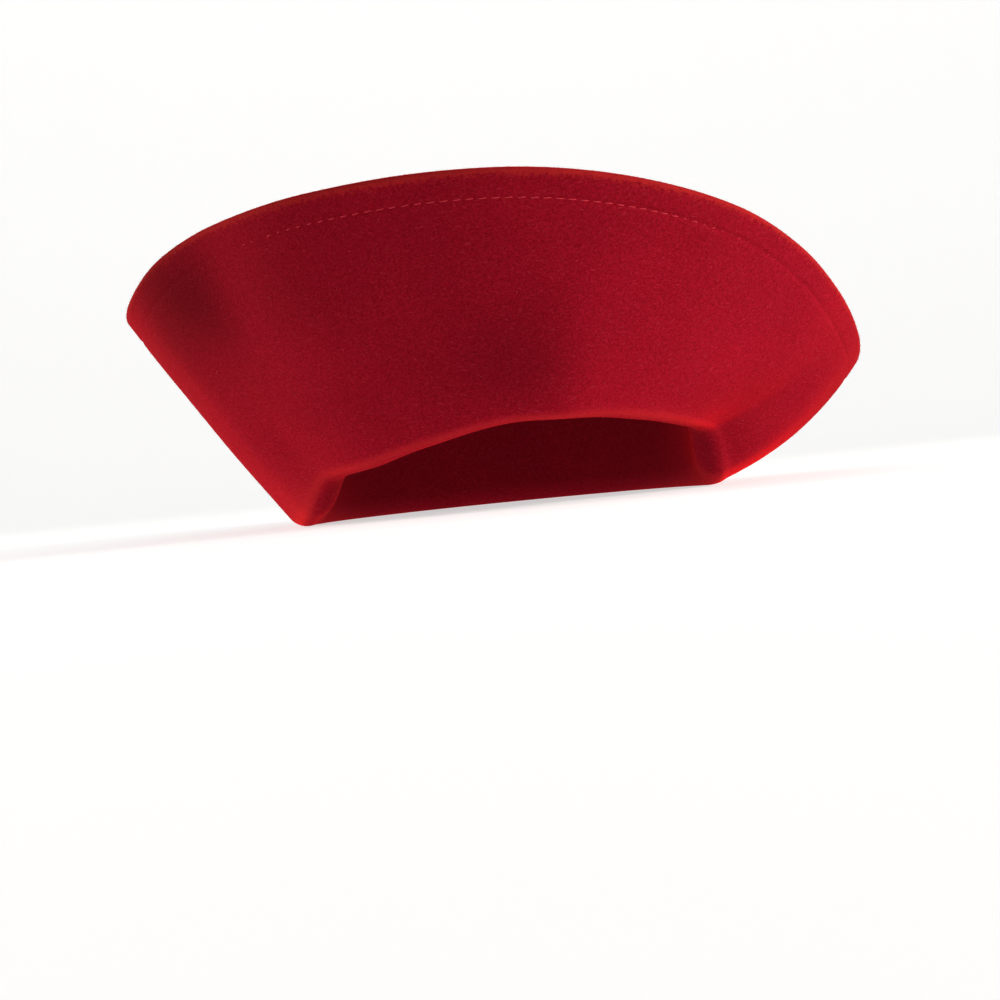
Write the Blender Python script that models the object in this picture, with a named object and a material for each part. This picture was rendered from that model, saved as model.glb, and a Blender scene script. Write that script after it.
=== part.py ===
"""A wide-brimmed wool felt fedora whose brim is turned up all round.

The hat is one piece of felt: a crown with a centre crease and two front pinches,
a rolled break, and a brim that sweeps up and out to a stitched, folded edge.
It stands on its break, crown up. The front faces -Y, X runs across the hat,
and the origin lies under the middle of the brim, on the surface that it rests on.
Lengths are in metres and angles in degrees.
"""

import math
from collections import namedtuple

import bmesh
import bpy

# Head opening, inside the felt
HEAD_HALF_WIDTH = 0.084
HEAD_HALF_LENGTH = 0.102

# Felt, and the edge of the brim folded back over it
FELT_THICKNESS = 0.0020
WELT_THICKNESS = 0.0036
WELT_WIDTH = 0.0130
WELT_STEP = 0.0008

# Crown, inside the felt
CROWN_HEIGHT = 0.122
CREASE_DEPTH = 0.017
CREASE_HALF_WIDTH = 0.021
CREASE_HALF_LENGTH = 0.070
PINCH_DEPTH = 0.013
PINCH_ANGLE = 38.0
PINCH_SPREAD = 17.0

# Rolled break, where the crown turns into the brim
ROLL_RADIUS = 0.0097
FRONT_LIFT = 0.037
REST_FLAT_DEPTH = 0.0004

# Brim, as it is at the front
BRIM_REACH = 0.077
BRIM_RISE = 0.130
BRIM_BOW = 0.008

# How finely the felt is divided
SECTORS = 72
INNER_ROLL_STEPS = 3
OUTER_ROLL_STEPS = 2
BRIM_STEPS = 6
WELT_STEPS = 2
SHARP_ANGLE = 50.0

# Colour, as linear red, green and blue, and roughness
FELT_COLOUR = (0.30, 0.004, 0.008, 1.0)
FELT_ROUGHNESS = 0.95

# The brim round the hat, by angle from the front, positive towards +X.
# lift is a share of FRONT_LIFT, reach of BRIM_REACH, rise of BRIM_RISE, bow of BRIM_BOW.
BrimSection = namedtuple("BrimSection", "angle lift reach rise bow")
BRIM_SECTIONS = (
    BrimSection(-180, 0.00, 1.12, 0.63, 0.30),
    BrimSection(-150, 0.00, 1.00, 0.70, 0.30),
    BrimSection(-120, 0.00, 0.96, 0.76, 0.10),
    BrimSection(-90, 0.00, 1.06, 0.77, 0.15),
    BrimSection(-75, 0.00, 1.07, 0.82, 0.20),
    BrimSection(-60, 0.55, 1.08, 0.90, 0.30),
    BrimSection(-45, 0.64, 1.08, 0.96, 0.30),
    BrimSection(-30, 0.79, 1.08, 1.00, 0.30),
    BrimSection(0, 1.00, 1.00, 1.00, 0.35),
    BrimSection(30, 0.87, 0.96, 0.86, 0.60),
    BrimSection(45, 0.77, 0.96, 0.74, 0.80),
    BrimSection(60, 0.68, 0.98, 0.60, 1.00),
    BrimSection(75, 0.00, 1.03, 0.47, 0.95),
    BrimSection(90, 0.00, 1.09, 0.39, 0.75),
    BrimSection(120, 0.00, 1.27, 0.43, 0.35),
    BrimSection(150, 0.00, 1.24, 0.54, 0.30),
)

# The crown from the middle of its top down to the break. height is a share of the way
# from the roll to CROWN_HEIGHT, plan a share of the head opening, and dent says how
# much of the crease and the pinches the ring takes.
CrownRing = namedtuple("CrownRing", "height plan dent")
CROWN_RINGS = (
    CrownRing(1.000, 0.000, 1.00),
    CrownRing(1.000, 0.220, 1.00),
    CrownRing(1.000, 0.440, 1.00),
    CrownRing(1.000, 0.620, 1.00),
    CrownRing(0.985, 0.760, 1.00),
    CrownRing(0.920, 0.855, 1.00),
    CrownRing(0.800, 0.905, 0.90),
    CrownRing(0.600, 0.940, 0.45),
    CrownRing(0.300, 0.975, 0.00),
)


def flowing_slope(before, after):
    """A slope between two rates, for a column that may swing freely."""
    return (before + after) / 2


def level_slope(before, after):
    """A slope between two rates that never carries a column past its own values."""
    if before * after <= 0:
        return 0.0
    return 2 * before * after / (before + after)


def around_the_brim(name, slope_between):
    """One column of the brim's table as a smooth function of the angle."""
    angles = [section.angle for section in BRIM_SECTIONS]
    values = [getattr(section, name) for section in BRIM_SECTIONS]
    count = len(angles)
    spans = [(angles[(i + 1) % count] - angles[i]) % 360 for i in range(count)]
    rates = [(values[(i + 1) % count] - values[i]) / spans[i] for i in range(count)]
    slopes = [slope_between(rates[i - 1], rates[i]) for i in range(count)]

    def value_at(angle):
        turned = (angle - angles[0]) % 360 + angles[0]
        i = max(k for k in range(count) if angles[k] <= turned)
        after = (i + 1) % count
        t = (turned - angles[i]) / spans[i]
        level = (1 + 2 * t) * (1 - t) ** 2 * values[i] + t * t * (3 - 2 * t) * values[after]
        swing = t * (1 - t) ** 2 * slopes[i] + t * t * (t - 1) * slopes[after]
        return level + swing * spans[i]

    return value_at


LIFT = around_the_brim("lift", level_slope)
REACH = around_the_brim("reach", flowing_slope)
RISE = around_the_brim("rise", flowing_slope)
BOW = around_the_brim("bow", flowing_slope)


def plan_point(angle, out):
    """A place in plan at a distance out from the head opening, square to its edge."""
    turn = math.radians(angle)
    x = HEAD_HALF_WIDTH * math.sin(turn)
    y = -HEAD_HALF_LENGTH * math.cos(turn)
    square_x = math.sin(turn) / HEAD_HALF_WIDTH
    square_y = -math.cos(turn) / HEAD_HALF_LENGTH
    length = math.hypot(square_x, square_y)
    return x + out * square_x / length, y + out * square_y / length


def felt_point(angle, out, height):
    """A point of the felt, which is flattened where it stands on the surface."""
    x, y = plan_point(angle, out)
    return x, y, max(height, 0.0)


def roll_middle(angle):
    """Height of the middle of the roll."""
    return FRONT_LIFT * LIFT(angle) + ROLL_RADIUS - REST_FLAT_DEPTH


def roll_point(angle, turn):
    """Distance out and height on the roll, for a turn round its middle."""
    out = ROLL_RADIUS * (1 + math.cos(turn))
    height = roll_middle(angle) + ROLL_RADIUS * math.sin(turn)
    return out, height


def roll_end(angle):
    """The turn at which the roll runs straight on into the brim."""
    across = BRIM_REACH * REACH(angle) - ROLL_RADIUS
    up = BRIM_RISE * RISE(angle) - roll_middle(angle)
    distance = math.hypot(across, up)
    return 2 * math.pi + math.atan2(up, across) - math.acos(ROLL_RADIUS / distance)


def bump(distance, half_width):
    """1 in the middle, falling smoothly to nothing past the half width."""
    return math.exp(-((distance / half_width) ** 2))


def crown_section(angle):
    """Points from the top of the crown down to the roll, at one angle."""
    foot = roll_middle(angle)
    x, y = plan_point(angle, 0.0)
    pinch = PINCH_DEPTH * bump(abs(angle) - PINCH_ANGLE, PINCH_SPREAD)
    points = []
    for ring in CROWN_RINGS:
        inward = ring.plan * (1 - ring.dent * pinch / math.hypot(x, y))
        crease = bump(x * inward, CREASE_HALF_WIDTH) * bump(y * inward, CREASE_HALF_LENGTH)
        height = foot + (CROWN_HEIGHT - foot) * ring.height
        height -= CREASE_DEPTH * crease * ring.dent
        points.append((x * inward, y * inward, height))
    return points


def roll_section(angle):
    """Points round the roll, from the crown to the brim, at one angle."""
    # One step lies flat underneath, as wide as the felt is flattened
    underneath = 1.5 * math.pi
    flat_half = math.acos(1 - REST_FLAT_DEPTH / ROLL_RADIUS)
    inner_end = underneath - flat_half
    outer_start = underneath + flat_half
    turns = []
    for step in range(INNER_ROLL_STEPS + 1):
        turns.append(math.pi + (inner_end - math.pi) * step / INNER_ROLL_STEPS)
    for step in range(OUTER_ROLL_STEPS + 1):
        turns.append(outer_start + (roll_end(angle) - outer_start) * step / OUTER_ROLL_STEPS)
    return [felt_point(angle, *roll_point(angle, turn)) for turn in turns]


def brim_section(angle):
    """Points from the roll out to the edge of the brim, at one angle."""
    start_out, start_height = roll_point(angle, roll_end(angle))
    run = BRIM_REACH * REACH(angle) - start_out
    climb = BRIM_RISE * RISE(angle) - start_height
    slant = math.hypot(run, climb)
    fold = 1 - WELT_WIDTH / slant
    full = fold + WELT_STEP / slant
    shares = [fold * (step + 1) / BRIM_STEPS for step in range(BRIM_STEPS)]
    shares += [full + (1 - full) * step / WELT_STEPS for step in range(WELT_STEPS + 1)]
    points = []
    for share in shares:
        bow = BRIM_BOW * BOW(angle) * 4 * share * (1 - share)
        out = start_out + run * share + bow * climb / slant
        height = start_height + climb * share - bow * run / slant
        points.append(felt_point(angle, out, height))
    return points


def felt_sections():
    """The skin of the felt on the head's side, a list of points for each angle."""
    sections = []
    for sector in range(SECTORS):
        angle = 360 * sector / SECTORS - 180
        sections.append(crown_section(angle) + roll_section(angle) + brim_section(angle))

    # The origin goes under the middle of the brim
    middle = []
    for axis in (0, 1):
        edge = [section[-1][axis] for section in sections]
        middle.append((min(edge) + max(edge)) / 2)
    return [[(x - middle[0], y - middle[1], z) for x, y, z in section] for section in sections]


def next_ring(bm, rim):
    """Extrude a closed rim, and give the new rim in the same order."""
    edges = [bm.edges.get((rim[i - 1], rim[i])) for i in range(len(rim))]
    grown = set(bmesh.ops.extrude_edge_only(bm, edges=edges)["geom"])
    new_rim = []
    for vert in rim:
        neighbours = [edge.other_vert(vert) for edge in vert.link_edges]
        new_rim.append(next(other for other in neighbours if other in grown))
    return new_rim


def felt_skin(name):
    """The skin as an object, grown from a disc in the crown, one ring at a time."""
    sections = felt_sections()
    ring_count = len(sections[0])
    first_welt_ring = ring_count - WELT_STEPS - 1
    single = FELT_THICKNESS / WELT_THICKNESS
    bm = bmesh.new()
    thickness = bm.verts.layers.deform.verify()
    disc = bmesh.ops.create_circle(bm, cap_ends=True, cap_tris=True, segments=SECTORS, radius=1)
    middle = max(disc["verts"], key=lambda vert: len(vert.link_edges))
    middle.co = sections[0][0]
    middle[thickness][0] = single
    rim = [vert for vert in disc["verts"] if vert is not middle]
    rim.sort(key=lambda vert: math.atan2(vert.co.x, -vert.co.y))
    for ring in range(1, ring_count):
        if ring > 1:
            rim = next_ring(bm, rim)
        for section, vert in zip(sections, rim):
            vert.co = section[ring]
            vert[thickness][0] = single if ring < first_welt_ring else 1.0

    # The skin faces the head, so the felt's thickness goes on its upper side
    bmesh.ops.recalc_face_normals(bm, faces=bm.faces)
    if middle.normal.z > 0:
        bmesh.ops.reverse_faces(bm, faces=bm.faces)
    mesh = bpy.data.meshes.new(name)
    bm.to_mesh(mesh)
    bm.free()
    skin = bpy.data.objects.new(name, mesh)
    bpy.context.collection.objects.link(skin)
    skin.vertex_groups.new(name="thickness")
    return skin


def felt_material():
    """Dull red wool felt."""
    material = bpy.data.materials.new("red_felt")
    material.use_nodes = True
    shader = material.node_tree.nodes["Principled BSDF"]
    shader.inputs["Base Color"].default_value = FELT_COLOUR
    shader.inputs["Roughness"].default_value = FELT_ROUGHNESS
    shader.inputs["Metallic"].default_value = 0.0
    material.diffuse_color = FELT_COLOUR
    return material


def build_felt_body():
    """Crown, break and brim: the skin given the thickness of the felt."""
    felt = felt_skin("felt_body")
    walls = felt.modifiers.new("felt_thickness", "SOLIDIFY")
    walls.thickness = WELT_THICKNESS
    walls.offset = -1
    walls.vertex_group = "thickness"
    walls.use_even_offset = True
    walls.use_quality_normals = True
    felt.data.materials.append(felt_material())
    felt.data.shade_smooth()
    felt.data.set_sharp_from_angle(angle=math.radians(SHARP_ANGLE))
    return felt


def main():
    for old in list(bpy.data.objects):
        bpy.data.objects.remove(old, do_unlink=True)
    build_felt_body()


main()
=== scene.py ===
"""Dresses a wide-brimmed felt fedora: its felt, its stitched edge, its nap and a plain studio.

The hat stands on its rolled break, crown up, with its front towards -Y.
Lengths are in metres and angles in degrees unless a name says otherwise.
"""

import math
from collections import namedtuple

import bmesh
import bpy
import numpy as np
from mathutils import Matrix, Vector, noise


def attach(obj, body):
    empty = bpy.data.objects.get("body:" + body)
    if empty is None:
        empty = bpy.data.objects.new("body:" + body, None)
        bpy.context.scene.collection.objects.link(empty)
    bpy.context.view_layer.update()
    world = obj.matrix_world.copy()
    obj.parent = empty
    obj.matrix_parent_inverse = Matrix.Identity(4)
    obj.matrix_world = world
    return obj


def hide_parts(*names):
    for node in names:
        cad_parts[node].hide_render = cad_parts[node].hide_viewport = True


bl_info = {
    "name": "Felt Fedora",
    "version": (1, 0, 0),
    "blender": (4, 5, 0),
    "location": "View3D > Sidebar > Fedora",
    "description": "Felt, stitches, nap and studio for a wide-brimmed felt fedora",
    "category": "Object",
}

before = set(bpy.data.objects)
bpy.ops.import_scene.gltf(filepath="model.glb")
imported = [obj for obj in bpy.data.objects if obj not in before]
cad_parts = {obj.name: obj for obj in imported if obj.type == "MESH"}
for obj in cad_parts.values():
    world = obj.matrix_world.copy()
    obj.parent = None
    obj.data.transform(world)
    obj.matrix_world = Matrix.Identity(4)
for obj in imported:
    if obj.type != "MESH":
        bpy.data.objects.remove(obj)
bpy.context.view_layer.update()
FELT_NODE = "felt_body"

# The brim round the hat, by angle from the front, positive towards +X.
# lift is a share of the front's lift, reach of its reach, rise of its rise, bow of its bow.
# At 75 and 90 degrees the roll comes down to the surface more gently than the solid's does.
BrimSection = namedtuple("BrimSection", "angle lift reach rise bow")
BRIM_SECTIONS = (
    BrimSection(-180, 0.00, 1.12, 0.63, 0.30),
    BrimSection(-150, 0.00, 1.00, 0.70, 0.30),
    BrimSection(-120, 0.00, 0.96, 0.76, 0.10),
    BrimSection(-90, 0.015, 1.06, 0.77, 0.15),
    BrimSection(-75, 0.13, 1.07, 0.82, 0.20),
    BrimSection(-60, 0.55, 1.08, 0.90, 0.30),
    BrimSection(-45, 0.64, 1.08, 0.96, 0.30),
    BrimSection(-30, 0.79, 1.08, 1.00, 0.30),
    BrimSection(0, 1.00, 1.00, 1.00, 0.35),
    BrimSection(30, 0.87, 0.96, 0.86, 0.60),
    BrimSection(45, 0.77, 0.96, 0.74, 0.80),
    BrimSection(60, 0.68, 0.98, 0.60, 1.00),
    BrimSection(75, 0.14, 1.03, 0.47, 0.95),
    BrimSection(90, 0.015, 1.09, 0.39, 0.75),
    BrimSection(120, 0.00, 1.27, 0.43, 0.35),
    BrimSection(150, 0.00, 1.24, 0.54, 0.30),
)

# The crown from the middle of its top down to the roll. height is a share of the way
# from the roll to the crown's height, plan a share of the head opening, and dent says
# how much of the crease and the pinches the ring takes.
CrownRing = namedtuple("CrownRing", "height plan dent")
CROWN_RINGS = (
    CrownRing(1.000, 0.000, 1.00),
    CrownRing(1.000, 0.220, 1.00),
    CrownRing(1.000, 0.440, 1.00),
    CrownRing(1.000, 0.620, 1.00),
    CrownRing(0.985, 0.760, 1.00),
    CrownRing(0.920, 0.855, 1.00),
    CrownRing(0.800, 0.905, 0.90),
    CrownRing(0.600, 0.940, 0.45),
    CrownRing(0.300, 0.975, 0.00),
    CrownRing(0.000, 1.000, 0.00),
)

# Where a hand has pushed the brim. angle and share say where, share being 0 where the roll
# ends, 1 at the edge and less than 0 on the roll, and the spreads say how far it carries.
# push is how far the felt goes towards the head's side, and nap is painted light and shade:
# how much lighter or darker the felt's colour is made there for how light falls on the brim.
HandDent = namedtuple("HandDent", "angle angle_spread share share_spread push nap")
HAND_DENTS = (
    HandDent(5, 10, 0.10, 0.55, 0.0025, 0.00),
    HandDent(-8, 12, 0.25, 0.30, 0.0000, -0.15),
    HandDent(22, 14, 0.30, 0.40, 0.0000, 0.13),
    HandDent(40, 13, 0.35, 0.33, 0.0000, 0.18),
    HandDent(-33, 9, 0.75, 0.35, 0.0012, 0.00),
    HandDent(-33, 13, 0.85, 0.30, 0.0000, -0.15),
    HandDent(-51, 8, 0.90, 0.35, -0.0024, 0.00),
    HandDent(-57, 7, 0.80, 0.25, 0.0000, -0.20),
    HandDent(-67, 14, 0.88, 0.28, 0.0000, -0.45),
    HandDent(-74, 20, 0.05, 0.38, 0.0000, 0.27),
    HandDent(-66, 10, -0.40, 0.28, 0.0000, -0.25),
    HandDent(65, 10, -0.35, 0.30, 0.0000, -0.35),
    HandDent(66, 8, 0.24, 0.26, 0.0000, 0.20),
    HandDent(70, 4, 0.50, 0.25, 0.0007, 0.06),
    HandDent(75, 20, 0.18, 0.32, 0.0000, 0.08),
    HandDent(82, 12, 0.60, 0.35, 0.0000, -0.24),
)

# Painted highlight: how much lighter the felt's colour is made where it bends into the roll, for
# the light caught there, the share where it does so, and how far from there it carries.
BEND_HIGHLIGHT = 0.42
BEND_HIGHLIGHT_SHARE = -0.18
BEND_HIGHLIGHT_SPREAD = 0.18

# The felt's small unevenness and the wandering raw edge of its welt, with the size of their
# patches and the shift that keeps the one from following the other.
UNEVEN_PATCH = 0.035
UNEVEN_SHIFT = 3
RAW_EDGE_WANDER = 0.0008
RAW_EDGE_PATCH = 0.012
RAW_EDGE_SHIFT = 9
RAW_EDGE_SLOPE = 0.0004

# How deep a stitch lies, in thread radii. The stitches stand out most near the front.
STITCH_SUNK = 1.1
STITCH_STANDS_OUT = 1.4
STITCH_STANDS_OUT_ANGLE = -4
STITCH_STANDS_OUT_SPREAD = 29
STITCH_SUNK_CHANCE = 0.2
STITCH_LEAN_CHANCE = (0.3, 1.4)

# The shade between the thread's plies, and the painted shade of the holes that its ends go down.
PLY_SHADE = 0.55
HOLE_SHADE_COLOUR = (0.05, 0.001, 0.002)

# The felt's pattern: the bend and thickness of its pressed fibres, the worn and painted-highlight
# rim's patches, wander, whole width and end, the broad shades, and the roughness of low and high
# places.
SWAY_PATCH = 0.004
SWAY_REACH = 0.003
PRESSED_FIBRE = 0.0006
WORN_LIT_RIM_PATCH = 0.0014
WORN_LIT_RIM_WANDER = 0.0080
WORN_LIT_RIM_WHOLE = 0.0040
WORN_LIT_RIM_NONE = 0.0078
BROAD_PATCH = 0.05
FELT_ROUGHNESS = (1.0, 0.85)
THREAD_ROUGHNESS = (0.8, 0.6)

# The patches in which the loose fibres differ in shade, and those in which they are faded.
FIBRE_SHADE_PATCH = 0.004
FIBRE_FADED_PATCH = 0.003

# How steeply a loose fibre stands, in degrees, how far it curls to the side, and its droop.
FIBRE_STEEPNESS = (5, 35)
FIBRE_CURL = 0.7
FIBRE_DROOP = 0.3
RIM_FUZZ_REACH = 0.5

# Each lamp by its angle from the front, its distance out, its height, its size, its watts
# and its colour.
StudioLamp = namedtuple("StudioLamp", "name angle out height size power colour")
STUDIO_LAMPS = (
    StudioLamp("key_light", 72, 1.50, 0.35, 0.50, 30, (1.00, 0.94, 0.86)),
    StudioLamp("side_light", -108, 1.50, 0.30, 0.50, 15, (1.00, 0.97, 0.92)),
)

# How finely the felt is divided. The rings nearest the edge are set by their distance from it.
SECTORS = 320
CROWN_STEPS = 4
ROLL_STEPS = 16
BRIM_STEPS = 24
RIM_STEPS = 8
EDGE_RINGS = (
    0.0190, 0.0170, 0.0155, 0.0146, 0.0140, 0.0135, 0.0132, 0.0129, 0.0126, 0.0122,
    0.0118, 0.0114, 0.0110, 0.0105, 0.0098, 0.0088, 0.0076, 0.0062, 0.0048, 0.0035, 0.0025,
    0.0018,
)

CAMERA_SENSOR = 36.0
CAMERA_CLIP_START = 0.01
LAMP_AIM = (0.0, 0.0, 0.06)
COVE_SECTORS = 96
COVE_STEPS = 16
WHITE = (1.0, 1.0, 1.0)


class HatShape(bpy.types.PropertyGroup):
    """The sizes that the felt is blocked to."""

    head_half_width: bpy.props.FloatProperty(
        name="Head half width",
        description="Half the width of the head opening, inside the felt",
        default=0.084,
        unit="LENGTH",
    )
    head_half_length: bpy.props.FloatProperty(
        name="Head half length",
        description="Half the length of the head opening, inside the felt",
        default=0.102,
        unit="LENGTH",
    )
    felt_thickness: bpy.props.FloatProperty(
        name="Felt thickness",
        description="Thickness of one layer of felt",
        default=0.0020,
        unit="LENGTH",
    )
    welt_thickness: bpy.props.FloatProperty(
        name="Welt thickness",
        description="Thickness where the edge is folded back over the brim",
        default=0.0036,
        unit="LENGTH",
    )
    welt_width: bpy.props.FloatProperty(
        name="Welt width",
        description="How far the folded edge comes back over the brim",
        default=0.0130,
        unit="LENGTH",
    )
    crown_height: bpy.props.FloatProperty(
        name="Crown height",
        description="Height of the crown inside, above the surface the hat stands on",
        default=0.122,
        unit="LENGTH",
    )
    crease_depth: bpy.props.FloatProperty(
        name="Crease depth",
        description="Depth of the crease along the top of the crown",
        default=0.017,
        unit="LENGTH",
    )
    crease_half_width: bpy.props.FloatProperty(
        name="Crease half width",
        description="Half width of the crease",
        default=0.021,
        unit="LENGTH",
    )
    crease_half_length: bpy.props.FloatProperty(
        name="Crease half length",
        description="Half length of the crease",
        default=0.070,
        unit="LENGTH",
    )
    pinch_depth: bpy.props.FloatProperty(
        name="Pinch depth",
        description="Depth of the front pinches",
        default=0.013,
        unit="LENGTH",
    )
    pinch_angle: bpy.props.FloatProperty(
        name="Pinch angle",
        description="Degrees from the front to the middle of a pinch",
        default=38.0,
    )
    pinch_spread: bpy.props.FloatProperty(
        name="Pinch spread",
        description="Half width of a pinch in degrees round the crown",
        default=17.0,
    )
    roll_radius: bpy.props.FloatProperty(
        name="Roll radius",
        description="Outer radius of the roll between the crown and the brim",
        default=0.0097,
        unit="LENGTH",
    )
    front_lift: bpy.props.FloatProperty(
        name="Front lift",
        description="Height of the roll above the surface at the front",
        default=0.037,
        unit="LENGTH",
    )
    rest_flat_depth: bpy.props.FloatProperty(
        name="Rest flat depth",
        description="How far the roll is pressed flat where it stands",
        default=0.0004,
        unit="LENGTH",
    )
    brim_reach: bpy.props.FloatProperty(
        name="Brim reach",
        description="Reach of the brim's edge out from the head opening at the front",
        default=0.077,
        unit="LENGTH",
    )
    brim_rise: bpy.props.FloatProperty(
        name="Brim rise",
        description="Height of the brim's edge at the front",
        default=0.130,
        unit="LENGTH",
    )
    brim_bow: bpy.props.FloatProperty(
        name="Brim bow",
        description="How far the brim bows outwards between its roll and its edge",
        default=0.008,
        unit="LENGTH",
    )
    unevenness: bpy.props.FloatProperty(
        name="Unevenness",
        description="How far the blocked felt strays from a smooth surface",
        default=0.0003,
        unit="LENGTH",
    )


class FeltFinish(bpy.types.PropertyGroup):
    """The colour and surface of the felt."""

    deep_colour: bpy.props.FloatVectorProperty(
        name="Deep colour",
        description="Felt between the fibres",
        default=(0.140, 0.0014, 0.0048),
        subtype="COLOR",
        min=0.0,
        max=1.0,
    )
    body_colour: bpy.props.FloatVectorProperty(
        name="Body colour",
        description="Felt as a whole",
        default=(0.246, 0.0036, 0.0134),
        subtype="COLOR",
        min=0.0,
        max=1.0,
    )
    nap_colour: bpy.props.FloatVectorProperty(
        name="Nap colour",
        description="Loose fibres that stand on the felt",
        default=(0.340, 0.0200, 0.0360),
        subtype="COLOR",
        min=0.0,
        max=1.0,
    )
    faded_colour: bpy.props.FloatVectorProperty(
        name="Faded colour",
        description="The palest of the loose fibres",
        default=(0.550, 0.1300, 0.1400),
        subtype="COLOR",
        min=0.0,
        max=1.0,
    )
    # Worn felt along the brim's edge, made lighter as a painted highlight
    worn_lit_rim_colour: bpy.props.FloatVectorProperty(
        name="Rim colour",
        description="Brushed felt along the brim's edge",
        default=(0.325, 0.0130, 0.0120),
        subtype="COLOR",
        min=0.0,
        max=1.0,
    )
    sheen_colour: bpy.props.FloatVectorProperty(
        name="Sheen colour",
        description="Light that the nap scatters at a low angle",
        default=(1.0, 0.004, 0.000),
        subtype="COLOR",
        min=0.0,
        max=1.0,
    )
    mottle_size: bpy.props.FloatProperty(
        name="Mottle size",
        description="Size of the small lighter and darker patches",
        default=0.0009,
        unit="LENGTH",
    )
    grain_depth: bpy.props.FloatProperty(
        name="Grain depth",
        description="Depth of the felt's grain",
        default=0.00009,
        unit="LENGTH",
    )


class StitchSizes(bpy.types.PropertyGroup):
    """The row of stitches that holds the welt."""

    inset: bpy.props.FloatProperty(
        name="Inset",
        description="Distance from the brim's edge to the stitches",
        default=0.0118,
        unit="LENGTH",
    )
    pitch: bpy.props.FloatProperty(
        name="Pitch",
        description="Distance from one stitch to the next",
        default=0.0050,
        unit="LENGTH",
    )
    length: bpy.props.FloatProperty(
        name="Length",
        description="Length of one stitch with the ends that dip into the felt",
        default=0.0046,
        unit="LENGTH",
    )
    thread_radius: bpy.props.FloatProperty(
        name="Thread radius",
        description="Radius of the sewing thread",
        default=0.00030,
        unit="LENGTH",
    )
    slant: bpy.props.FloatProperty(
        name="Slant",
        description="Degrees that each stitch leans across the line of the seam",
        default=6.0,
    )
    dip: bpy.props.FloatProperty(
        name="Dip",
        description="How far the ends of a stitch bend down into the felt",
        default=0.00036,
        unit="LENGTH",
    )
    furrow_depth: bpy.props.FloatProperty(
        name="Furrow depth",
        description="How far the stitches pull the felt in",
        default=0.00035,
        unit="LENGTH",
    )
    furrow_half_width: bpy.props.FloatProperty(
        name="Furrow half width",
        description="Half width of the furrow along the stitches",
        default=0.0012,
        unit="LENGTH",
    )
    seed: bpy.props.IntProperty(
        name="Seed",
        description="Seed of the stitches' small differences",
        default=3,
    )
    thread_colour: bpy.props.FloatVectorProperty(
        name="Thread colour",
        description="Sewing thread",
        default=(0.540, 0.026, 0.042),
        subtype="COLOR",
        min=0.0,
        max=1.0,
    )


class NapSizes(bpy.types.PropertyGroup):
    """The loose fibres that stand on the felt."""

    face_count: bpy.props.IntProperty(
        name="Face fibres",
        description="Number of loose fibres on each face of the felt",
        default=9500,
    )
    rim_count: bpy.props.IntProperty(
        name="Rim fibres",
        description="Number of loose fibres round the brushed rim",
        default=9000,
    )
    shortest: bpy.props.FloatProperty(
        name="Shortest",
        description="Length of the shortest fibre",
        default=0.0008,
        unit="LENGTH",
    )
    longest: bpy.props.FloatProperty(
        name="Longest",
        description="Length of the longest fibre",
        default=0.0040,
        unit="LENGTH",
    )
    radius: bpy.props.FloatProperty(
        name="Radius",
        description="Radius of a fibre at its root",
        default=0.000035,
        unit="LENGTH",
    )
    seed: bpy.props.IntProperty(
        name="Seed",
        description="Seed of the fibres' places and turns",
        default=7,
    )


class StudioSetup(bpy.types.PropertyGroup):
    """The camera, the lights and the pale cove."""

    azimuth: bpy.props.FloatProperty(
        name="Azimuth",
        description="Degrees that the camera stands round from the front",
        default=-7.03,
    )
    elevation: bpy.props.FloatProperty(
        name="Elevation",
        description="Degrees that the camera looks down",
        default=1.0,
    )
    roll: bpy.props.FloatProperty(
        name="Roll",
        description="Degrees that the camera leans about its own line of sight",
        default=-5.74,
    )
    distance: bpy.props.FloatProperty(
        name="Distance",
        description="Distance from the camera to the middle of the head opening",
        default=1.065,
        unit="LENGTH",
    )
    lens: bpy.props.FloatProperty(
        name="Lens",
        description="Focal length in millimetres",
        default=83.6,
    )
    shift: bpy.props.FloatVectorProperty(
        name="Shift",
        description="Shift of the lens across and up",
        default=(-0.01265, 0.00536),
        size=2,
    )
    target: bpy.props.FloatVectorProperty(
        name="Target",
        description="Place on the floor that the camera points to",
        default=(-0.0025, -0.0049, 0.0),
        subtype="TRANSLATION",
    )
    cove_glow: bpy.props.FloatProperty(
        name="Cove glow",
        description="Strength of the even light that the cove gives by itself",
        default=0.58,
    )
    sky_light: bpy.props.FloatProperty(
        name="Sky light",
        description="Strength of the even light from above the cove",
        default=0.4,
    )
    cove_colour: bpy.props.FloatVectorProperty(
        name="Cove colour",
        description="Paint of the floor and the cove",
        default=(0.55, 0.55, 0.55),
        subtype="COLOR",
        min=0.0,
        max=1.0,
    )
    floor_radius: bpy.props.FloatProperty(
        name="Floor radius",
        description="Radius of the flat floor",
        default=1.9,
        unit="LENGTH",
    )
    cove_radius: bpy.props.FloatProperty(
        name="Cove radius",
        description="Radius of the sweep between floor and wall",
        default=1.2,
        unit="LENGTH",
    )


def flowing_slope(before, after):
    """A slope between two rates, for a column that may swing freely."""
    return (before + after) / 2


def level_slope(before, after):
    """A slope between two rates that never carries a column past its own values."""
    if before * after <= 0:
        return 0.0
    return 2 * before * after / (before + after)


def hermite(t, start, end, start_slope, end_slope):
    """A smooth step from one value to the next with a given slope at each end."""
    level = (1 + 2 * t) * (1 - t) ** 2 * start + t * t * (3 - 2 * t) * end
    return level + t * (1 - t) ** 2 * start_slope + t * t * (t - 1) * end_slope


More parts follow.
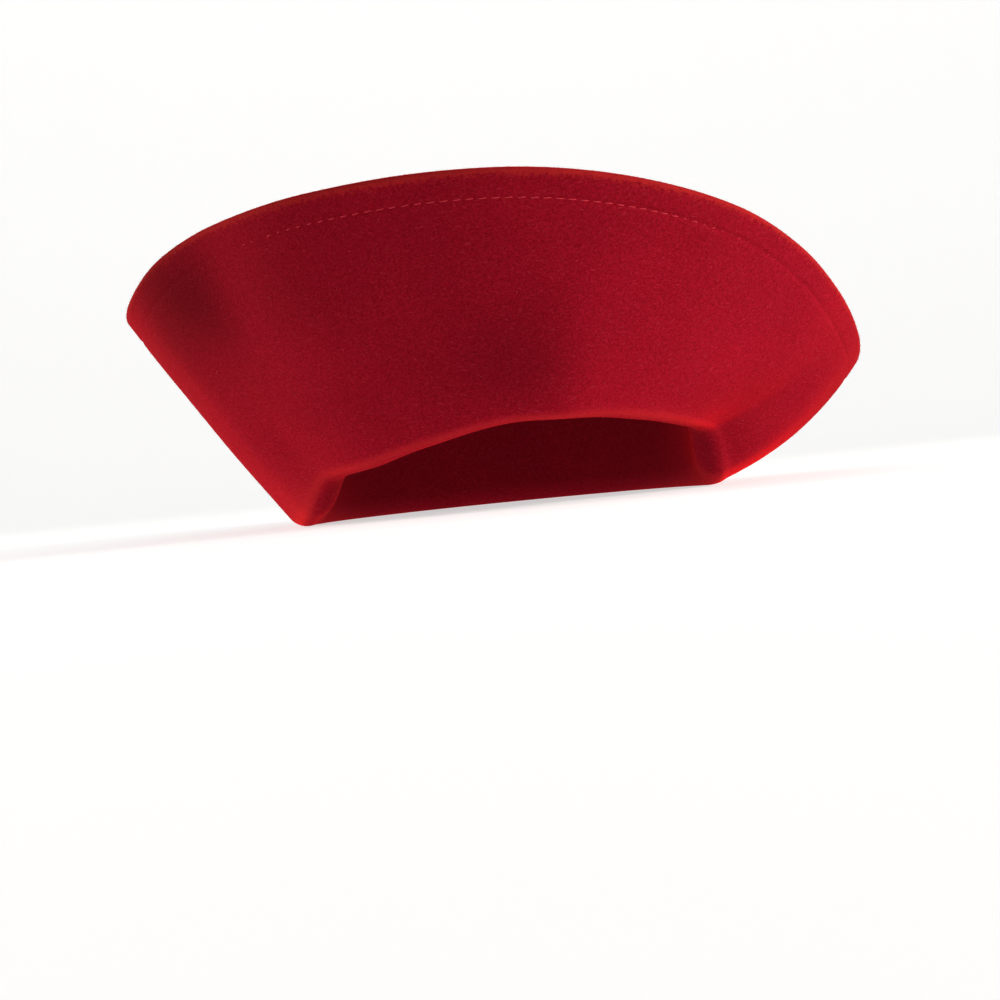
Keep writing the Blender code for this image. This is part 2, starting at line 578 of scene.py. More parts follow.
def around_the_brim(name, slope_between):
    """One column of the brim's table as a smooth function of the angle."""
    angles = [section.angle for section in BRIM_SECTIONS]
    values = [getattr(section, name) for section in BRIM_SECTIONS]
    count = len(angles)
    spans = [(angles[(i + 1) % count] - angles[i]) % 360 for i in range(count)]
    rates = [(values[(i + 1) % count] - values[i]) / spans[i] for i in range(count)]
    slopes = [slope_between(rates[i - 1], rates[i]) for i in range(count)]

    def value_at(angle):
        turned = (angle - angles[0]) % 360 + angles[0]
        i = max(k for k in range(count) if angles[k] <= turned)
        j = (i + 1) % count
        span = spans[i]
        t = (turned - angles[i]) / span
        return hermite(t, values[i], values[j], slopes[i] * span, slopes[j] * span)

    return value_at


LIFT = around_the_brim("lift", level_slope)
REACH = around_the_brim("reach", flowing_slope)
RISE = around_the_brim("rise", flowing_slope)
BOW = around_the_brim("bow", flowing_slope)


def crown_ring_at(place):
    """A ring between the rows of the crown's table, read smoothly."""
    i = min(int(place), len(CROWN_RINGS) - 2)
    rows = [CROWN_RINGS[min(max(i + k, 0), len(CROWN_RINGS) - 1)] for k in (-1, 0, 1, 2)]
    values = []
    for before, start, end, after in zip(*rows):
        values.append(hermite(place - i, start, end, (end - before) / 2, (after - start) / 2))
    return CrownRing(*values)


def bump(distance, half_width):
    """1 in the middle, falling smoothly to nothing past the half width."""
    return math.exp(-((distance / half_width) ** 2))


def plan_point(hat, angle, out):
    """A place in plan at a distance out from the head opening, square to its edge."""
    turn = math.radians(angle)
    x = hat.head_half_width * math.sin(turn)
    y = -hat.head_half_length * math.cos(turn)
    square_x = math.sin(turn) / hat.head_half_width
    square_y = -math.cos(turn) / hat.head_half_length
    length = math.hypot(square_x, square_y)
    return x + out * square_x / length, y + out * square_y / length


def roll_middle(hat, angle):
    """Height of the middle of the roll."""
    return hat.front_lift * LIFT(angle) + hat.roll_radius - hat.rest_flat_depth


def roll_point(hat, angle, turn):
    """Distance out and height on the roll, for a turn round its middle."""
    out = hat.roll_radius * (1 + math.cos(turn))
    height = roll_middle(hat, angle) + hat.roll_radius * math.sin(turn)
    return out, height


def roll_end(hat, angle):
    """The turn at which the roll runs straight on into the brim."""
    across = hat.brim_reach * REACH(angle) - hat.roll_radius
    up = hat.brim_rise * RISE(angle) - roll_middle(hat, angle)
    distance = math.hypot(across, up)
    return 2 * math.pi + math.atan2(up, across) - math.acos(hat.roll_radius / distance)


def brim_line(hat, angle):
    """The straight way up the brim: its start out and up, its run, climb and slant."""
    start_out, start_height = roll_point(hat, angle, roll_end(hat, angle))
    run = hat.brim_reach * REACH(angle) - start_out
    climb = hat.brim_rise * RISE(angle) - start_height
    return start_out, start_height, run, climb, math.hypot(run, climb)


def crown_section(hat, angle):
    """Points from the top of the crown down to the roll, at one angle."""
    foot = roll_middle(hat, angle)
    x, y = plan_point(hat, angle, 0.0)
    pinch = hat.pinch_depth * bump(abs(angle) - hat.pinch_angle, hat.pinch_spread)
    points = []
    for step in range((len(CROWN_RINGS) - 1) * CROWN_STEPS):
        ring = crown_ring_at(step / CROWN_STEPS)
        inward = ring.plan * (1 - ring.dent * pinch / math.hypot(x, y))
        crease = bump(x * inward, hat.crease_half_width) * bump(y * inward, hat.crease_half_length)
        height = foot + (hat.crown_height - foot) * ring.height
        points.append((x * inward, y * inward, height - hat.crease_depth * crease * ring.dent))
    return points


def roll_section(hat, angle):
    """Points round the roll, from the crown to the brim, at one angle."""
    end = roll_end(hat, angle)
    points = []
    for step in range(ROLL_STEPS + 1):
        out, height = roll_point(hat, angle, math.pi + (end - math.pi) * step / ROLL_STEPS)
        x, y = plan_point(hat, angle, out)
        points.append((x, y, max(height, 0.0)))
    return points


def brim_distances(slant):
    """Distances from the edge at which the brim has its rings, from the roll outwards."""
    inner = slant - EDGE_RINGS[0]
    even = [slant - inner * step / BRIM_STEPS for step in range(1, BRIM_STEPS)]
    return even + list(EDGE_RINGS)


def brim_section(hat, angle):
    """Points from the roll out to the edge of the brim, at one angle."""
    start_out, start_height, run, climb, slant = brim_line(hat, angle)
    points = []
    for distance in brim_distances(slant):
        share = 1 - distance / slant
        bow = hat.brim_bow * BOW(angle) * 4 * share * (1 - share)
        x, y = plan_point(hat, angle, start_out + run * share + bow * climb / slant)
        height = start_height + climb * share - bow * run / slant
        points.append((x, y, max(height, 0.0)))
    return points


def sector_angles():
    """The angle of each sector, from the back round by the right."""
    return [360 * sector / SECTORS - 180 for sector in range(SECTORS)]


def edge_middle(hat):
    """The middle in plan of the brim's outline, which goes over the origin."""
    edge = []
    for angle in sector_angles():
        edge.append(plan_point(hat, angle, hat.brim_reach * REACH(angle)))
    edge = np.array(edge)
    return (edge.min(0) + edge.max(0)) / 2


def plain_skin(hat):
    """The skin on the head's side, an array of sectors by rings by x, y and z."""
    sections = []
    for angle in sector_angles():
        inner = crown_section(hat, angle) + roll_section(hat, angle)
        sections.append(inner + brim_section(hat, angle))
    skin = np.array(sections)
    skin[..., :2] -= edge_middle(hat)
    return skin


def edge_distances(hat):
    """The distance from the brim's edge for each point of the skin, up to the brim's width."""
    inside = (len(CROWN_RINGS) - 1) * CROWN_STEPS + ROLL_STEPS + 1
    rows = []
    for angle in sector_angles():
        slant = brim_line(hat, angle)[-1]
        rows.append([slant] * inside + brim_distances(slant))
    return np.array(rows)


def facing(skin):
    """Unit normals of a skin, which point to the head's side."""
    along = np.roll(skin, -1, axis=0) - np.roll(skin, 1, axis=0)
    outward = np.gradient(skin, axis=1)
    normals = np.cross(along, outward)
    lengths = np.linalg.norm(normals, axis=2, keepdims=True)
    straight_down = np.array([0.0, 0.0, -1.0])
    return np.where(lengths > 1e-15, normals / np.maximum(lengths, 1e-15), straight_down)


def hand_shaping(distances):
    """For each point of the skin, its push towards the head's side and its painted light and shade.
    """
    push = np.zeros(distances.shape)
    nap = np.zeros(distances.shape)
    roll_end_ring = distances.shape[1] - len(brim_distances(1.0)) - 1
    rings_past_roll = np.arange(distances.shape[1]) - roll_end_ring
    for sector, angle in enumerate(sector_angles()):
        share = 1 - distances[sector] / distances[sector, 0]
        share = np.where(rings_past_roll > 0, share, rings_past_roll / ROLL_STEPS)
        # Painted highlight along the bend into the roll
        nap[sector] = BEND_HIGHLIGHT * np.exp(-(((share - BEND_HIGHLIGHT_SHARE) / BEND_HIGHLIGHT_SPREAD) ** 2))
        # Each dent pushes the felt and adds painted light and shade to its colour
        for dent in HAND_DENTS:
            across = (angle - dent.angle + 180) % 360 - 180
            carry = np.exp(-(((share - dent.share) / dent.share_spread) ** 2))
            carry *= bump(across, dent.angle_spread)
            push[sector] += dent.push * carry
            nap[sector] += dent.nap * carry
    return push, nap


def uneven(skin, size, shift):
    """Smooth chance values about 0, one for each point, with patches of the given size."""
    places = [Vector(point) / size + Vector((shift, 0, 0)) for point in skin.reshape(-1, 3)]
    return np.array([noise.noise(place) for place in places]).reshape(skin.shape[:2])


def felt_skins(hat, stitch):
    """Both faces of the felt, each point's distance from the edge, and its painted light and shade.
    """
    skin = plain_skin(hat)
    distances = edge_distances(hat)
    normals = facing(skin)
    push, nap = hand_shaping(distances)
    push += hat.unevenness * uneven(skin, UNEVEN_PATCH, UNEVEN_SHIFT)
    from_seam = (distances - stitch.inset) / stitch.furrow_half_width
    furrow = stitch.furrow_depth * np.exp(-(from_seam**2))
    lower = skin + normals * (push - furrow)[..., None]
    lower[..., 2] = np.where(skin[..., 2] > 0.0, np.maximum(lower[..., 2], 0.0), 0.0)

    # The welt's raw edge wanders a little along the upper face
    wander = RAW_EDGE_WANDER * uneven(skin, RAW_EDGE_PATCH, RAW_EDGE_SHIFT)
    raw_edge = np.clip((hat.welt_width + wander - distances) / RAW_EDGE_SLOPE + 0.5, 0, 1)
    thickness = hat.felt_thickness + (hat.welt_thickness - hat.felt_thickness) * raw_edge
    upper = skin + normals * (push - thickness + furrow)[..., None]
    return lower, upper, distances, nap


def next_ring(bm, rim):
    """Extrude a closed rim, and give the new rim in the same order."""
    edges = [bm.edges.get((rim[i - 1], rim[i])) for i in range(len(rim))]
    grown = set(bmesh.ops.extrude_edge_only(bm, edges=edges)["geom"])
    new_rim = []
    for vert in rim:
        neighbours = [edge.other_vert(vert) for edge in vert.link_edges]
        new_rim.append(next(other for other in neighbours if other in grown))
    return new_rim


def first_disc(bm, segments, radius):
    """A disc of triangles: its middle vertex, and its rim in order round from the back."""
    disc = bmesh.ops.create_circle(
        bm, cap_ends=True, cap_tris=True, segments=segments, radius=radius
    )
    middle = max(disc["verts"], key=lambda vert: len(vert.link_edges))
    rim = [vert for vert in disc["verts"] if vert is not middle]
    rim.sort(key=lambda vert: math.atan2(vert.co.x, -vert.co.y))
    return middle, rim


def finished_mesh(bm, name):
    """The bmesh as smooth-shaded mesh data."""
    mesh = bpy.data.meshes.new(name)
    bm.to_mesh(mesh)
    bm.free()
    mesh.shade_smooth()
    return mesh


def rim_rings(lower, upper):
    """Rings that round the rim over from the lower face to the upper one."""
    first = lower[:, -1]
    last = upper[:, -1]
    middle = (first + last) / 2
    outward = first - lower[:, -2]
    outward /= np.linalg.norm(outward, axis=1, keepdims=True)
    half = np.linalg.norm(first - last, axis=1, keepdims=True) / 2
    rings = []
    for step in range(1, RIM_STEPS):
        turn = math.pi * step / RIM_STEPS
        rings.append(middle + (first - middle) * math.cos(turn) + outward * half * math.sin(turn))
    return rings


def felt_mesh(name, lower, upper, distances, nap):
    """The felt as one closed mesh, grown ring by ring from the crown and back over the rim."""
    outward = list(range(1, lower.shape[1]))
    round_rim = rim_rings(lower, upper)
    rings = [lower[:, ring] for ring in outward] + round_rim
    rings += [upper[:, ring] for ring in reversed(outward)]
    at_edge = [np.zeros(SECTORS)] * len(round_rim)
    depths = [distances[:, ring] for ring in outward] + at_edge
    depths += [distances[:, ring] for ring in reversed(outward)]
    painted_light_rings = [nap[:, ring] for ring in outward] + [nap[:, -1]] * len(round_rim)
    painted_light_rings += [nap[:, ring] for ring in reversed(outward)]

    bm = bmesh.new()
    depth_layer = bm.verts.layers.float.new("edge_distance")
    # The nap attribute holds painted light and shade for the felt's colour
    painted_light_layer = bm.verts.layers.float.new("nap")
    middle, rim = first_disc(bm, SECTORS, 1.0)
    middle.co = lower[0, 0]
    middle[depth_layer] = distances[0, 0]
    for number, (ring, depth, painted_light_and_shade) in enumerate(zip(rings, depths, painted_light_rings)):
        if number > 0:
            rim = next_ring(bm, rim)
        for sector, vert in enumerate(rim):
            vert.co = ring[sector]
            vert[depth_layer] = depth[sector]
            vert[painted_light_layer] = painted_light_and_shade[sector]

    # Close the crown's outer face with a point in its middle
    last_edges = [bm.edges.get((rim[i - 1], rim[i])) for i in range(len(rim))]
    cap = bmesh.ops.edgeloop_fill(bm, edges=last_edges)["faces"]
    top = bmesh.ops.poke(bm, faces=cap)["verts"][0]
    top.co = upper[0, 0]
    top[depth_layer] = distances[0, 0]
    bmesh.ops.recalc_face_normals(bm, faces=bm.faces)
    return finished_mesh(bm, name)


def add_piece(name, mesh, material):
    """An object of the hat, riding with the felt."""
    piece = bpy.data.objects.new(name, mesh)
    bpy.context.collection.objects.link(piece)
    mesh.materials.clear()
    mesh.materials.append(material)
    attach(piece, "root")
    return piece


def add_node(tree, kind, inputs, **settings):
    """A new node with its settings, and its inputs set to values or joined to sockets."""
    node = tree.nodes.new(kind)
    for name, value in settings.items():
        setattr(node, name, value)
    for name, value in inputs.items():
        if isinstance(value, bpy.types.NodeSocket):
            tree.links.new(value, node.inputs[name])
        else:
            node.inputs[name].default_value = value
    return node


def math_node(tree, operation, first, second):
    """The outcome of a Math node."""
    return add_node(tree, "ShaderNodeMath", {0: first, 1: second}, operation=operation).outputs[0]


def in_range(tree, value, low, high, low_out, high_out):
    """A value carried smoothly from one range to another, and held at its ends."""
    inputs = {0: value, 1: low, 2: high, 3: low_out, 4: high_out}
    node = add_node(tree, "ShaderNodeMapRange", inputs, interpolation_type="SMOOTHSTEP")
    return node.outputs[0]


def mixed_colour(tree, amount, first, second):
    """A colour between two others."""
    inputs = {0: amount, 6: first, 7: second}
    return add_node(tree, "ShaderNodeMix", inputs, data_type="RGBA").outputs[2]


def patches(tree, place, size, detail):
    """Noise with patches of the given size."""
    inputs = {"Vector": place, "Scale": 1 / size, "Detail": detail}
    return add_node(tree, "ShaderNodeTexNoise", inputs).outputs[0]


def stray_fibres(tree, place, turn):
    """Short curved streaks like fibres pressed flat in the felt, 1 on a streak and 0 off it."""
    inputs = {"Vector": place, "Rotation": turn, "Scale": (0.25, 1.0, 1.0)}
    stretched = add_node(tree, "ShaderNodeMapping", inputs).outputs[0]
    return in_range(tree, patches(tree, stretched, PRESSED_FIBRE, 0.0), 0.62, 0.82, 0.0, 1.0)


def swayed(tree, place, size, reach):
    """Places shifted smoothly this way and that, to bend what is drawn with them."""
    sway = add_node(tree, "ShaderNodeTexNoise", {"Vector": place, "Scale": 1 / size, "Detail": 0.0})
    inputs = {0: sway.outputs["Color"], 1: (reach, reach, reach), 2: place}
    return add_node(tree, "ShaderNodeVectorMath", inputs, operation="MULTIPLY_ADD").outputs[0]


def opaque(colour):
    """A colour with full alpha."""
    return (*colour, 1.0)


def plain_shader(name, gloss):
    """A new material, its node tree and its shader with the given gloss."""
    material = bpy.data.materials.new(name)
    material.use_nodes = True
    tree = material.node_tree
    shader = tree.nodes["Principled BSDF"]
    shader.inputs["Specular IOR Level"].default_value = gloss
    return material, tree, shader


def set_sheen(shader, weight, roughness, colour):
    """The soft light that a fabric's nap gives back at a low angle."""
    shader.inputs["Sheen Weight"].default_value = weight
    shader.inputs["Sheen Roughness"].default_value = roughness
    shader.inputs["Sheen Tint"].default_value = opaque(colour)


def felt_material(finish):
    """Red wool felt: mottled, grainy, with fibres pressed into it, a worn rim with a painted
    highlight, and painted light and shade.
    """
    material, tree, shader = plain_shader("red_wool_felt", 0.02)
    place = add_node(tree, "ShaderNodeTexCoord", {}).outputs["Object"]
    edge = add_node(tree, "ShaderNodeAttribute", {}, attribute_name="edge_distance").outputs["Fac"]
    deep = opaque(finish.deep_colour)
    body = opaque(finish.body_colour)
    nap = opaque(finish.nap_colour)

    mottle = patches(tree, place, finish.mottle_size, 3.0)
    grain = patches(tree, place, finish.mottle_size / 2.5, 0.0)
    bent = swayed(tree, place, SWAY_PATCH, SWAY_REACH)
    streaks = stray_fibres(tree, bent, (0.2, 0.4, 0.5))

    colour = mixed_colour(tree, in_range(tree, mottle, 0.25, 0.75, 0.0, 1.0), deep, body)
    colour = mixed_colour(tree, in_range(tree, grain, 0.35, 0.75, 0.0, 0.4), colour, body)
    colour = mixed_colour(tree, math_node(tree, "MULTIPLY", streaks, 0.30), colour, nap)
    # The rim: worn felt and a painted highlight, with a wandering inner boundary
    edge_patches = patches(tree, place, WORN_LIT_RIM_PATCH, 2.0)
    rough_edge = math_node(tree, "MULTIPLY", edge_patches, WORN_LIT_RIM_WANDER)
    from_edge = math_node(tree, "ADD", edge, rough_edge)
    worn_and_lit = in_range(tree, from_edge, WORN_LIT_RIM_WHOLE, WORN_LIT_RIM_NONE, 0.75, 0.0)
    # Painted light and shade from the nap attribute lighten the colour towards the rim colour
    painted_light_and_shade = add_node(tree, "ShaderNodeAttribute", {}, attribute_name="nap").outputs["Fac"]
    worn_lit_rim_and_painted_light = math_node(tree, "MAXIMUM", worn_and_lit, in_range(tree, painted_light_and_shade, 0.15, 0.60, 0.0, 0.55))
    colour = mixed_colour(tree, worn_lit_rim_and_painted_light, colour, opaque(finish.worn_lit_rim_colour))

    broad = in_range(tree, patches(tree, place, BROAD_PATCH, 1.0), 0.3, 0.7, -0.06, 0.06)
    # Brightness: painted light and shade from the nap attribute, with broad random shades
    value = math_node(tree, "ADD", math_node(tree, "ADD", painted_light_and_shade, broad), 1.0)
    shaded = add_node(tree, "ShaderNodeHueSaturation", {"Value": value, "Color": colour})
    tree.links.new(shaded.outputs[0], shader.inputs["Base Color"])

    roughness = in_range(tree, mottle, 0.3, 0.7, *FELT_ROUGHNESS)
    tree.links.new(roughness, shader.inputs["Roughness"])
    height = math_node(tree, "ADD", mottle, math_node(tree, "MULTIPLY", grain, 0.4))
    relief = {"Strength": 1.0, "Distance": finish.grain_depth, "Height": height}
    tree.links.new(add_node(tree, "ShaderNodeBump", relief).outputs[0], shader.inputs["Normal"])
    set_sheen(shader, 0.5, 0.35, finish.sheen_colour)
    return material


def nap_material(finish):
    """Loose wool fibres."""
    material, tree, shader = plain_shader("loose_wool_fibre", 0.05)
    shader.inputs["Roughness"].default_value = 0.8
    place = add_node(tree, "ShaderNodeTexCoord", {}).outputs["Object"]
    shade = in_range(tree, patches(tree, place, FIBRE_SHADE_PATCH, 0.0), 0.35, 0.65, 0.0, 1.0)
    colour = mixed_colour(tree, shade, opaque(finish.body_colour), opaque(finish.nap_colour))
    faded = in_range(tree, patches(tree, place, FIBRE_FADED_PATCH, 0.0), 0.62, 0.75, 0.0, 0.6)
    colour = mixed_colour(tree, faded, colour, opaque(finish.faded_colour))
    tree.links.new(colour, shader.inputs["Base Color"])
    set_sheen(shader, 0.5, 0.4, finish.sheen_colour)
    return material


def thread_material(stitch):
    """Spun sewing thread, with its plies along each stitch and painted shade where its ends go into
    the felt.
    """
    material, tree, shader = plain_shader("sewing_thread", 0.08)
    place = add_node(tree, "ShaderNodeTexCoord", {}).outputs["UV"]
    stretch = {"Vector": place, "Scale": (2.0, 9.0, 1.0)}
    turned = add_node(tree, "ShaderNodeMapping", stretch).outputs[0]
    waves = {"Vector": turned, "Scale": 1.0}
    plies = add_node(tree, "ShaderNodeTexWave", waves, bands_direction="DIAGONAL").outputs["Fac"]
    hollow = tuple(channel * PLY_SHADE for channel in stitch.thread_colour)
    colour = mixed_colour(tree, plies, opaque(hollow), opaque(stitch.thread_colour))
    # Painted shade at each end, where the thread goes down into its hole
    along = add_node(tree, "ShaderNodeSeparateXYZ", {"Vector": place}).outputs["Y"]
    from_middle = math_node(tree, "ABSOLUTE", math_node(tree, "SUBTRACT", along, 0.5), 0.0)
    in_hole_shade = in_range(tree, from_middle, 0.22, 0.30, 0.0, 0.9)
    colour = mixed_colour(tree, in_hole_shade, colour, opaque(HOLE_SHADE_COLOUR))
    tree.links.new(colour, shader.inputs["Base Color"])
    roughness = in_range(tree, plies, 0.0, 1.0, *THREAD_ROUGHNESS)
    tree.links.new(roughness, shader.inputs["Roughness"])
    relief = {"Strength": 0.6, "Distance": stitch.thread_radius / 4, "Height": plies}
    tree.links.new(add_node(tree, "ShaderNodeBump", relief).outputs[0], shader.inputs["Normal"])
    return material


def stitch_shape(stitch):
    """One stitch along X, arched so that its ends dip into the felt, as mesh data."""
    bm = bmesh.new()
    bm.loops.layers.uv.new("UVMap")
    bmesh.ops.create_uvsphere(bm, u_segments=8, v_segments=6, radius=1, calc_uvs=True)
    bmesh.ops.rotate(bm, verts=bm.verts, matrix=Matrix.Rotation(math.pi / 2, 3, "Y"))
    size = (stitch.length / 2, stitch.thread_radius, stitch.thread_radius)
    bmesh.ops.scale(bm, verts=bm.verts, vec=size)
    for vert in bm.verts:
        vert.co.z -= stitch.dip * (2 * vert.co.x / stitch.length) ** 2
    return finished_mesh(bm, "stitch_shape")


def coordinates(mesh):
    """The places of a mesh's vertices."""
    places = np.empty(len(mesh.vertices) * 3)
    mesh.vertices.foreach_get("co", places)
    return places.reshape(-1, 3)


def copied_shapes(name, shape, place_lists):
    """Mesh data with one copy of a shape for each list of vertex places."""
    bm = bmesh.new()
    for places in place_lists:
        shape.vertices.foreach_set("co", places.ravel())
        bm.from_mesh(shape)
    bpy.data.meshes.remove(shape)
    return finished_mesh(bm, name)


def stitch_places(stitch, shape, chance, seam, normals):
    """Vertex places of every stitch along a seam that lies on one face of the felt."""
    closed = np.vstack([seam, seam[:1]])
    steps = np.linalg.norm(np.diff(closed, axis=0), axis=1)
    lengths = np.concatenate([[0.0], np.cumsum(steps)])
    count = round(lengths[-1] / stitch.pitch)
    outline = coordinates(shape)
    for number in range(count):
        at = lengths[-1] * (number + 0.5) / count
        sector = int(np.searchsorted(lengths, at)) - 1
        t = (at - lengths[sector]) / steps[sector]
        place = closed[sector] * (1 - t) + closed[sector + 1] * t
        along = (closed[sector + 1] - closed[sector]) / steps[sector]
        up = normals[sector]
        from_front = 360 * sector / SECTORS - 180 - STITCH_STANDS_OUT_ANGLE
        sunk = STITCH_SUNK - STITCH_STANDS_OUT * bump(from_front, STITCH_STANDS_OUT_SPREAD)
        sunk += chance.uniform(-STITCH_SUNK_CHANCE, STITCH_SUNK_CHANCE)
        lean = math.radians(stitch.slant * chance.uniform(*STITCH_LEAN_CHANCE))
        leant = along * math.cos(lean) + np.cross(up, along) * math.sin(lean)
        turned = np.array([leant, np.cross(up, leant), up])
        yield place - up * stitch.thread_radius * sunk + outline @ turned


def fibre_shape():
    """A thin tapering fibre of length 1 along Z with three sides, as mesh data."""
    bm = bmesh.new()
    bmesh.ops.create_cone(bm, cap_ends=True, segments=3, radius1=1.0, radius2=0.35, depth=1.0)
    bmesh.ops.translate(bm, verts=bm.verts, vec=(0, 0, 0.5))
    long_edges = [edge for edge in bm.edges if abs(edge.verts[0].co.z - edge.verts[1].co.z) > 0.5]
    bmesh.ops.subdivide_edges(bm, edges=long_edges, cuts=2)
    return finished_mesh(bm, "fibre_shape")


def fibre_places(nap, shape, chance, roots, normals, count, reach):
    """Vertex places of fibres on a grid of felt, each leaning over and curling its own way."""
    outline = coordinates(shape)
    square = np.cross(np.roll(roots, -1, axis=0) - roots, np.gradient(roots, axis=1))
    area = np.linalg.norm(square, axis=2)
    area[:, 0] = 0
    chosen = chance.choice(area.size, size=count, p=(area / area.sum()).ravel())
    for index in chosen:
        sector, ring = divmod(index, roots.shape[1])
        beside = roots[(sector + 1) % SECTORS, ring] - roots[sector, ring]
        onward = roots[sector, ring] - roots[sector, ring - 1]
        root = roots[sector, ring] + beside * chance.random() - onward * chance.random()
        up = normals[sector, ring]
        side = np.cross(up, chance.normal(size=3))
        side /= np.linalg.norm(side)
        across = np.cross(up, side)
        length = reach * (nap.shortest + (nap.longest - nap.shortest) * chance.random() ** 2)
        steep = math.radians(chance.uniform(*FIBRE_STEEPNESS))
        share = outline[:, 2:]
        curl = chance.uniform(-FIBRE_CURL, FIBRE_CURL)
        lean = side * math.cos(steep) * share + across * curl * share**2
        rise = up * (math.sin(steep) * share - FIBRE_DROOP * share**2)
        girth = (outline[:, :1] * across + outline[:, 1:2] * up) * nap.radius
        places = root + (lean + rise) * length + girth
        if places[:, 2].min() > 0:
            yield places


class FEDORA_OT_felt(bpy.types.Operator):
    """Add the felt of the hat: crown, roll and brim with a rounded, folded edge."""

    bl_idname = "fedora.felt"
    bl_label = "Felt"

    def execute(self, context):
        scene = context.scene
        skins = felt_skins(scene.fedora_shape, scene.fedora_stitches)
        mesh = felt_mesh("felt_hat", *skins)
        felt = add_piece("felt_hat", mesh, felt_material(scene.fedora_finish))
        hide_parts(FELT_NODE)
        return {"FINISHED"}


class FEDORA_OT_stitches(bpy.types.Operator):
    """Add the row of stitches along the edge, on both faces of the brim."""

    bl_idname = "fedora.stitches"
    bl_label = "Stitches"

    def execute(self, context):
        scene = context.scene
        stitch = scene.fedora_stitches
        lower, upper, distances, _ = felt_skins(scene.fedora_shape, stitch)
        ring = int(np.argmin(np.abs(distances[0] - stitch.inset)))
        normals = facing(lower)[:, ring]
        shape = stitch_shape(stitch)
        chance = np.random.default_rng(stitch.seed)
        rows = list(stitch_places(stitch, shape, chance, lower[:, ring], normals))
        rows += list(stitch_places(stitch, shape, chance, upper[:, ring], -normals))
        mesh = copied_shapes("edge_stitches", shape, rows)
        add_piece("edge_stitches", mesh, thread_material(stitch))
        return {"FINISHED"}


class FEDORA_OT_nap(bpy.types.Operator):
    """Add loose fibres over both faces of the felt and round its rim."""

    bl_idname = "fedora.nap"
    bl_label = "Nap"

    def execute(self, context):
        scene = context.scene
        nap = scene.fedora_nap
        lower, upper, distances, _ = felt_skins(scene.fedora_shape, scene.fedora_stitches)
        chance = np.random.default_rng(nap.seed)
        normals = facing(lower)
        wool = nap_material(scene.fedora_finish)
        rim = [lower[:, -2], lower[:, -1], *rim_rings(lower, upper), upper[:, -1], upper[:, -2]]
        rim = np.stack(rim, axis=1)
        grids = (
            ("nap_lower_face", lower, normals, nap.face_count, 1.0),
            ("nap_upper_face", upper, -normals, nap.face_count, 1.0),
            ("rim_fuzz", rim, facing(rim), nap.rim_count, RIM_FUZZ_REACH),
        )
        for name, grid, ups, count, reach in grids:
            shape = fibre_shape()
            fibres = list(fibre_places(nap, shape, chance, grid, ups, count, reach))
            add_piece(name, copied_shapes(name, shape, fibres), wool)
        return {"FINISHED"}


def studio_cove(studio):
    """A round pale floor that sweeps up into a wall all round, as mesh data."""
    bm = bmesh.new()
    middle, rim = first_disc(bm, COVE_SECTORS, studio.floor_radius)
    for step in range(1, COVE_STEPS + 1):
        turn = math.pi / 2 * step / COVE_STEPS
        out = studio.floor_radius + studio.cove_radius * math.sin(turn)
        height = studio.cove_radius * (1 - math.cos(turn))
        rim = next_ring(bm, rim)
        for vert in rim:
            flat = vert.co.xy.normalized() * out
            vert.co = (flat.x, flat.y, height)
    bmesh.ops.recalc_face_normals(bm, faces=bm.faces)
    if middle.normal.z < 0:
        bmesh.ops.reverse_faces(bm, faces=bm.faces)
    return finished_mesh(bm, "studio_cove")


def add_lamp(lamp):
    """A square soft light, turned to the hat and unseen itself."""
    light = bpy.data.lights.new(lamp.name, "AREA")
    light.shape = "SQUARE"
    light.size = lamp.size
    light.energy = lamp.power
    light.color = lamp.colour
    holder = bpy.data.objects.new(lamp.name, light)
    bpy.context.collection.objects.link(holder)
    around = math.radians(lamp.angle)
    place = Vector((lamp.out * math.sin(around), -lamp.out * math.cos(around), lamp.height))
    turned = (Vector(LAMP_AIM) - place).to_track_quat("-Z", "Y").to_matrix().to_4x4()
    holder.matrix_world = Matrix.Translation(place) @ turned
    holder.visible_camera = False


def add_camera(studio):
    """The camera at the photograph's angle."""
    camera_data = bpy.data.cameras.new("camera")
    camera_data.sensor_width = CAMERA_SENSOR
    camera_data.lens = studio.lens
    camera_data.shift_x, camera_data.shift_y = studio.shift
    camera_data.clip_start = CAMERA_CLIP_START
    camera = bpy.data.objects.new("camera", camera_data)
    bpy.context.collection.objects.link(camera)
    around = math.radians(studio.azimuth)
    above = math.radians(studio.elevation)
    level = math.cos(above)
    away = Vector((math.sin(around) * level, -math.cos(around) * level, math.sin(above)))
    look = (-away).to_track_quat("-Z", "Y").to_matrix().to_4x4()
    place = Matrix.Translation(Vector(studio.target) + away * studio.distance)
    camera.matrix_world = place @ look @ Matrix.Rotation(math.radians(studio.roll), 4, "Z")
    bpy.context.scene.camera = camera


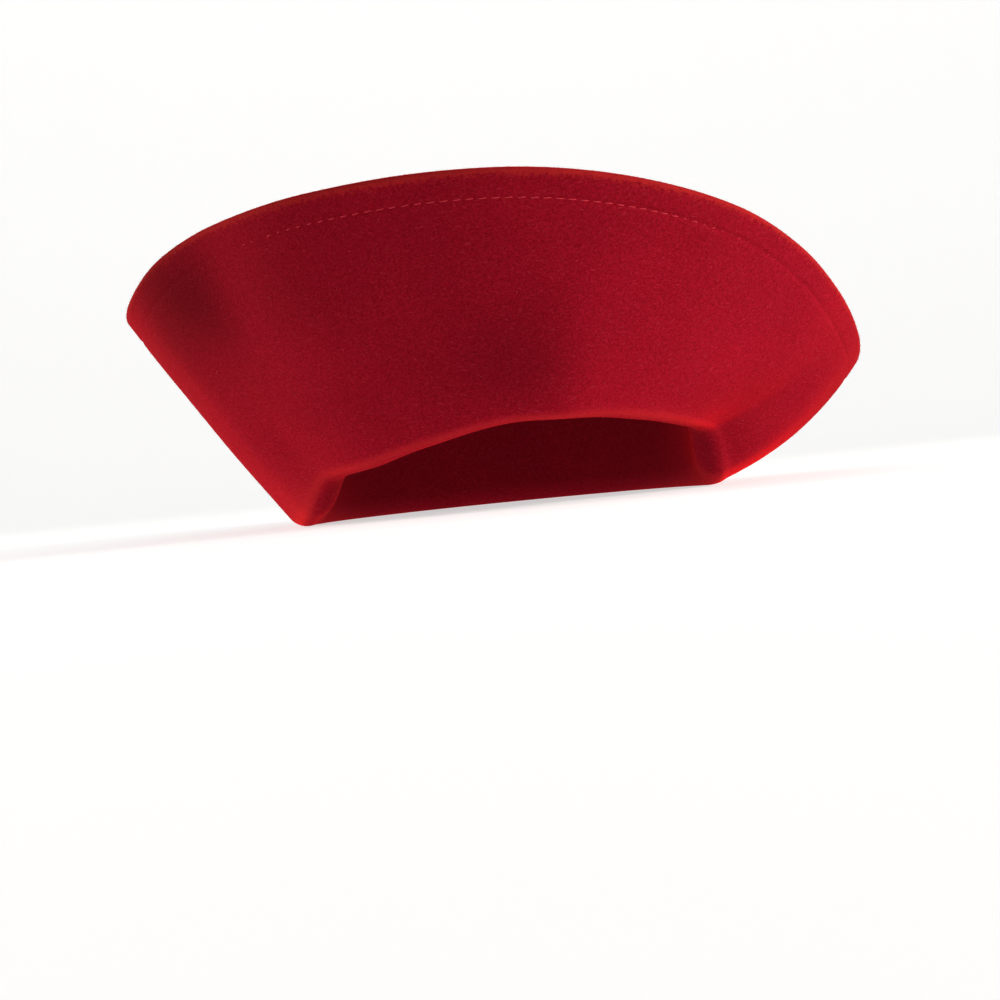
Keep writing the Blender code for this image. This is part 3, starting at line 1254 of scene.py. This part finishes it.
class FEDORA_OT_studio(bpy.types.Operator):
    """Add the pale cove, the soft lights and the camera."""

    bl_idname = "fedora.studio"
    bl_label = "Studio"

    def execute(self, context):
        scene = context.scene
        studio = scene.fedora_studio
        material, _, shader = plain_shader("cove_paint", 0.1)
        shader.inputs["Roughness"].default_value = 0.9
        shader.inputs["Base Color"].default_value = opaque(studio.cove_colour)
        shader.inputs["Emission Color"].default_value = opaque(WHITE)
        shader.inputs["Emission Strength"].default_value = studio.cove_glow
        mesh = studio_cove(studio)
        mesh.materials.append(material)
        cove = bpy.data.objects.new("studio_cove", mesh)
        context.collection.objects.link(cove)
        for lamp in STUDIO_LAMPS:
            add_lamp(lamp)

        world = bpy.data.worlds.new("even_sky")
        world.use_nodes = True
        background = world.node_tree.nodes["Background"]
        background.inputs["Color"].default_value = opaque(WHITE)
        background.inputs["Strength"].default_value = studio.sky_light
        scene.world = world
        scene.view_settings.view_transform = "Standard"
        add_camera(studio)
        return {"FINISHED"}


OPERATORS = (FEDORA_OT_felt, FEDORA_OT_stitches, FEDORA_OT_nap, FEDORA_OT_studio)


class FEDORA_PT_sidebar(bpy.types.Panel):
    """The hat's pieces and its studio, in the sidebar of the 3D view."""

    bl_label = "Fedora"
    bl_idname = "FEDORA_PT_sidebar"
    bl_space_type = "VIEW_3D"
    bl_region_type = "UI"
    bl_category = "Fedora"

    def draw(self, context):
        for operator in OPERATORS:
            self.layout.operator(operator.bl_idname)


SETTINGS = {
    "fedora_shape": HatShape,
    "fedora_finish": FeltFinish,
    "fedora_stitches": StitchSizes,
    "fedora_nap": NapSizes,
    "fedora_studio": StudioSetup,
}
CONTROLS = (*OPERATORS, FEDORA_PT_sidebar)


def register():
    """Add the classes, and the settings to the scene."""
    for name, group in SETTINGS.items():
        bpy.utils.register_class(group)
        setattr(bpy.types.Scene, name, bpy.props.PointerProperty(type=group))
    for control in CONTROLS:
        bpy.utils.register_class(control)


def unregister():
    """Take the settings and the classes away again."""
    for control in reversed(CONTROLS):
        bpy.utils.unregister_class(control)
    for name, group in SETTINGS.items():
        delattr(bpy.types.Scene, name)
        bpy.utils.unregister_class(group)


def main():
    """Dress the hat."""
    register()
    bpy.ops.fedora.felt()
    bpy.ops.fedora.stitches()
    bpy.ops.fedora.nap()
    bpy.ops.fedora.studio()


if __name__ == "__main__":
    main()
